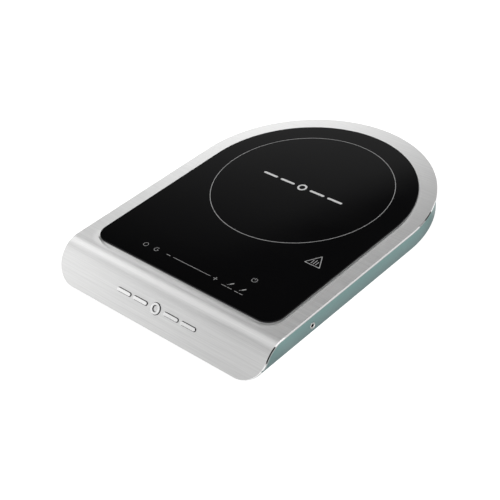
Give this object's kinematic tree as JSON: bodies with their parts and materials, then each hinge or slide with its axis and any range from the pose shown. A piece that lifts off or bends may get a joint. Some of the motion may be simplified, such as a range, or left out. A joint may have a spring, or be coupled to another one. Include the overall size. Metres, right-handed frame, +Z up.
{
  "type": "portable induction cooktop",
  "caption": "Low portable induction cooktop: flush black glass in a brushed steel top with a round back and sloped front, coloured side housing and recessed base.",
  "frame": {"origin": "on the surface it stands on, at the centre of the outline's bounding box", "axes": "+Z up through the glass, +Y towards the round back, +X to the right-hand side with the probe socket"},
  "size_m": [0.29, 0.3894, 0.052],
  "materials": {
    "brushed_steel": "fine linear brushing across the width",
    "black_glass": "gloss, bevelled edge",
    "sealant": "light grey, matt",
    "black_plastic": "fine texture",
    "sage_paint": "satin",
    "zinc": "zinc plated, dull",
    "rubber": "matt",
    "nickel": "bright turned metal",
    "cream_plastic": "moulded",
    "lead_insulation": "cable insulation",
    "fibre_mat": "ceramic fibre felt",
    "mica": "pressed mica sheet",
    "litz_copper": "varnished litz wire",
    "ferrite": "matt dark ferrite",
    "aluminium": "milled",
    "silicone": "silicone",
    "white_ceramic": "matt",
    "circuit_board": "solder mask",
    "black_epoxy": "moulded epoxy",
    "blue_plastic": "moulded case",
    "clear_plastic": "milky light guide",
    "ribbon": "flat cable"
  },
  "bodies": {
    "base": {"top_plate": "brushed_steel", "glass_top": "black_glass", "glass_gasket": "sealant", "glass_carrier": "black_plastic", "housing_shell": "sage_paint", "stud_nuts": "zinc", "base_tray": "black_plastic", "base_screws": "zinc", "rubber_feet": "rubber", "probe_bush": "nickel", "probe_nut": "zinc", "probe_socket": "black_plastic", "cord_gland": "rubber", "cord_clamp": "cream_plastic", "clamp_screws": "zinc", "terminal_block": "cream_plastic", "mains_leads": "lead_insulation", "insulation_mat": "fibre_mat", "mica_sheet": "mica", "induction_coil": "litz_copper", "coil_former": "black_plastic", "ferrite_bars": "ferrite", "coil_shield": "aluminium", "coil_pillars": "silicone", "sensor_holder": "white_ceramic", "coil_sensor": "zinc", "coil_leads": "silicone", "fan_frame": "black_plastic", "fan_stator": "litz_copper", "fan_screws": "zinc", "power_board": "circuit_board", "heatsink": "aluminium", "power_transistor": "black_epoxy", "bridge_rectifier": "black_epoxy", "film_capacitors": "blue_plastic", "smoothing_capacitor": "blue_plastic", "filter_board": "circuit_board", "mains_choke": "litz_copper", "mains_fuse": "white_ceramic", "board_screws": "zinc", "control_bracket": "black_plastic", "control_board": "circuit_board", "touch_springs": "zinc", "light_guide": "clear_plastic", "beeper": "black_epoxy", "ribbon_cable": "ribbon"},
    "rotor": {"fan_rotor": "black_plastic"}
  },
  "joints": [
    {"name": "fan_spin", "type": "hinge", "parent": "base", "child": "rotor", "pos_m": [0.052, 0.048, 0.012], "axis": [0, 0, 1], "continuous": true}
  ]
}
